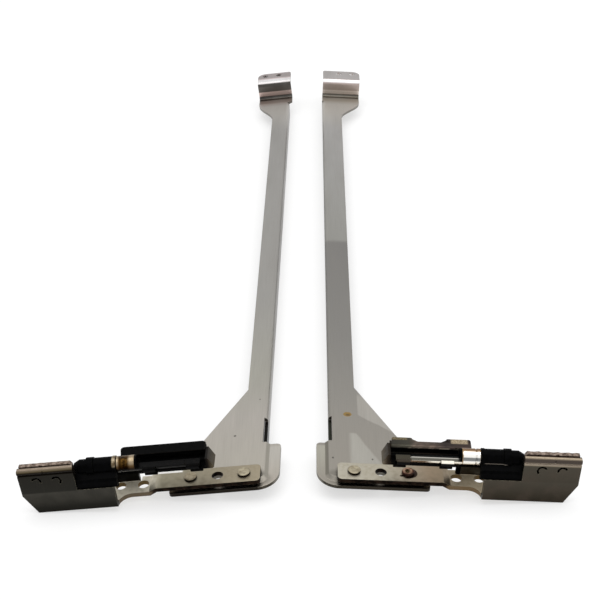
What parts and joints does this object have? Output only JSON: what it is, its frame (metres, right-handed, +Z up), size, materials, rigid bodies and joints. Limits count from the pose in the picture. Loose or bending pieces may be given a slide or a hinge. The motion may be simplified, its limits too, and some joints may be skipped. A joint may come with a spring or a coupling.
{
  "type": "laptop hinge pair",
  "caption": "Mirrored pair of laptop lid hinges, each with a long flat screen rail, a riveted arm, a friction clutch and a turning leaf.",
  "frame": {"origin": "on the surface the pair lies on, at the middle of its outline", "axes": "+X to the right hinge, +Y along the rails away from the arms, +Z up"},
  "size_m": [0.124, 0.2141, 0.0134],
  "materials": {
    "rail_steel": "satin",
    "arm_nickel": "satin",
    "raw_plate": "rough",
    "rivet_steel": "worn",
    "rusty_rivet": "rusted",
    "black_clutch": "semi-gloss",
    "spring_steel": "satin",
    "shaft_steel": "polished",
    "black_leaf": "semi-gloss"
  },
  "bodies": {
    "fixed_brackets": {"left_rail": "rail_steel", "left_arm_bracket": "arm_nickel", "left_backing_plate": "raw_plate", "left_inner_rivet": "rivet_steel", "left_outer_rivet": "rivet_steel", "left_clutch_housing": "black_clutch", "left_friction_clip": "spring_steel", "right_rail": "rail_steel", "right_arm_bracket": "arm_nickel", "right_backing_plate": "raw_plate", "right_inner_rivet": "rivet_steel", "right_outer_rivet": "rusty_rivet", "right_clutch_housing": "black_clutch", "right_friction_clip": "spring_steel"},
    "left_turning_leaf": {"left_leaf": "black_leaf", "left_shaft": "shaft_steel", "left_retaining_ring": "spring_steel"},
    "right_turning_leaf": {"right_leaf": "black_leaf", "right_shaft": "shaft_steel", "right_retaining_ring": "spring_steel"}
  },
  "joints": [
    {"name": "left_hinge", "type": "hinge", "parent": "fixed_brackets", "child": "left_turning_leaf", "pos_m": [-0.0376, -0.10328, 0.01106], "axis": [0.9965, -0.0087, 0.0837], "range_deg": [-5, 130]},
    {"name": "right_hinge", "type": "hinge", "parent": "fixed_brackets", "child": "right_turning_leaf", "pos_m": [0.0376, -0.10328, 0.01106], "axis": [0.9965, 0.0087, -0.0837], "range_deg": [-5, 130]}
  ]
}
